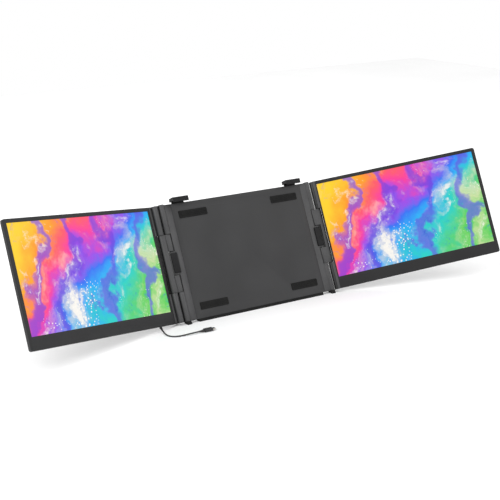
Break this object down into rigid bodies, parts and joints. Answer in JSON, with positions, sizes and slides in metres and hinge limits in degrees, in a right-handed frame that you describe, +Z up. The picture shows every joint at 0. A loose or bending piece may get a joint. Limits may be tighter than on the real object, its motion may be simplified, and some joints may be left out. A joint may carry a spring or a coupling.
{
  "type": "laptop screen extender",
  "caption": "Frame that clamps behind a notebook lid, with a kickstand, sliding clips and a double-hinged portable display at each side, one with a lead.",
  "frame": {"origin": "centre of the flat underside of the frame's foot strip, on the table", "axes": "+X to the right as the user sees it, +Y back towards the kickstand, +Z up"},
  "size_m": [1.0549, 0.2173, 0.2612],
  "materials": {
    "bezel_plastic": "fine texture, satin",
    "hinge_grey": "fine-grained matt",
    "shell_grey": "fine-grained matt",
    "clip_black": "satin",
    "display_glass": "glossy, dark when off",
    "light_guide": "white",
    "board_green": "solder mask",
    "steel": "plain",
    "plate_aluminium": "plain",
    "rubber_black": "matt",
    "cable_black": "matt",
    "plug_metal": "bright"
  },
  "bodies": {
    "frame": {"frame_rear_shell": "shell_grey", "frame_front_panel": "shell_grey", "lid_pads": "rubber_black", "frame_core_plate": "plate_aluminium", "foot_strip": "rubber_black", "frame_screws": "steel", "kickstand_pins": "steel", "kickstand_brackets": "shell_grey"},
    "kickstand": {"kickstand_leg": "shell_grey", "kickstand_foot": "rubber_black"},
    "right_link": {"right_link": "hinge_grey"},
    "left_link": {"left_link": "hinge_grey"},
    "right_column": {"right_hinge_column": "hinge_grey", "right_column_rails": "steel", "right_column_pins": "steel", "right_column_foot": "rubber_black"},
    "right_screen": {"right_bezel": "bezel_plastic", "right_lcd_panel": "display_glass", "right_backlight": "light_guide", "right_rear_cover": "shell_grey", "right_control_board": "board_green", "right_ports": "plug_metal", "right_switches": "clip_black", "right_hinge_plates": "steel", "right_hinge_strip": "hinge_grey", "right_screen_pins": "steel"},
    "right_top_clip": {"right_top_clip": "clip_black", "right_top_clip_pad": "rubber_black"},
    "right_side_clip": {"right_side_clip": "clip_black", "right_side_clip_pad": "rubber_black"},
    "right_power_button": {"right_power_button": "clip_black"},
    "right_menu_button": {"right_menu_button": "clip_black"},
    "left_column": {"left_hinge_column": "hinge_grey", "left_column_rails": "steel", "left_column_pins": "steel", "left_column_foot": "rubber_black"},
    "left_screen": {"left_bezel": "bezel_plastic", "left_lcd_panel": "display_glass", "left_backlight": "light_guide", "left_rear_cover": "shell_grey", "left_control_board": "board_green", "left_ports": "plug_metal", "left_switches": "clip_black", "left_hinge_plates": "steel", "left_hinge_strip": "hinge_grey", "left_screen_pins": "steel", "cable_grommet": "cable_black", "cable": "cable_black", "plug_body": "cable_black", "plug_tongue": "plug_metal"},
    "left_top_clip": {"left_top_clip": "clip_black", "left_top_clip_pad": "rubber_black"},
    "left_side_clip": {"left_side_clip": "clip_black", "left_side_clip_pad": "rubber_black"},
    "left_power_button": {"left_power_button": "clip_black"},
    "left_menu_button": {"left_menu_button": "clip_black"}
  },
  "joints": [
    {"name": "right_column_slide", "type": "slide", "parent": "frame", "child": "right_column", "axis": [1, 0, 0], "range_m": [0, 0.02]},
    {"name": "right_link_hinge", "type": "hinge", "parent": "right_column", "child": "right_link", "pos_m": [0.1694, 0.04492, 0.10681], "axis": [0, -0.4035, -0.915], "range_deg": [0, 90]},
    {"name": "right_screen_hinge", "type": "hinge", "parent": "right_link", "child": "right_screen", "pos_m": [0.1838, 0.04492, 0.10681], "axis": [0, -0.4035, -0.915], "range_deg": [-35, 70.15]},
    {"name": "left_column_slide", "type": "slide", "parent": "frame", "child": "left_column", "axis": [-1, 0, 0], "range_m": [0, 0.02]},
    {"name": "left_link_hinge", "type": "hinge", "parent": "left_column", "child": "left_link", "pos_m": [-0.1694, 0.04492, 0.10681], "axis": [0, 0.4035, 0.915], "range_deg": [0, 90]},
    {"name": "left_screen_hinge", "type": "hinge", "parent": "left_link", "child": "left_screen", "pos_m": [-0.1838, 0.04492, 0.10681], "axis": [0, 0.4035, 0.915], "range_deg": [-35, 70.15]},
    {"name": "kickstand_hinge", "type": "hinge", "parent": "frame", "child": "kickstand", "pos_m": [0, 0.04895, 0.10034], "axis": [1, 0, 0], "range_deg": [-42.79, 15]},
    {"name": "right_top_clip_slide", "type": "slide", "parent": "frame", "child": "right_top_clip", "axis": [0, 0.4035, 0.915], "range_m": [-0.003, 0.02]},
    {"name": "right_side_clip_slide", "type": "slide", "parent": "right_column", "child": "right_side_clip", "axis": [0, 0.915, -0.4035], "range_m": [-0.0075, 0], "stiffness_N_per_m": 200, "springref_m": 0.002},
    {"name": "right_power_button_press", "type": "slide", "parent": "right_screen", "child": "right_power_button", "axis": [-0.3396, -0.8606, 0.3796], "range_m": [0, 0.0006], "stiffness_N_per_m": 2500, "springref_m": -0.0004},
    {"name": "right_menu_button_press", "type": "slide", "parent": "right_screen", "child": "right_menu_button", "axis": [-0.3396, -0.8606, 0.3796], "range_m": [0, 0.0006], "stiffness_N_per_m": 2500, "springref_m": -0.0004},
    {"name": "left_top_clip_slide", "type": "slide", "parent": "frame", "child": "left_top_clip", "axis": [0, 0.4035, 0.915], "range_m": [-0.003, 0.02]},
    {"name": "left_side_clip_slide", "type": "slide", "parent": "left_column", "child": "left_side_clip", "axis": [0, 0.915, -0.4035], "range_m": [-0.0075, 0], "stiffness_N_per_m": 200, "springref_m": 0.002},
    {"name": "left_power_button_press", "type": "slide", "parent": "left_screen", "child": "left_power_button", "axis": [0.3396, -0.8606, 0.3796], "range_m": [0, 0.0006], "stiffness_N_per_m": 2500, "springref_m": -0.0004},
    {"name": "left_menu_button_press", "type": "slide", "parent": "left_screen", "child": "left_menu_button", "axis": [0.3396, -0.8606, 0.3796], "range_m": [0, 0.0006], "stiffness_N_per_m": 2500, "springref_m": -0.0004}
  ]
}
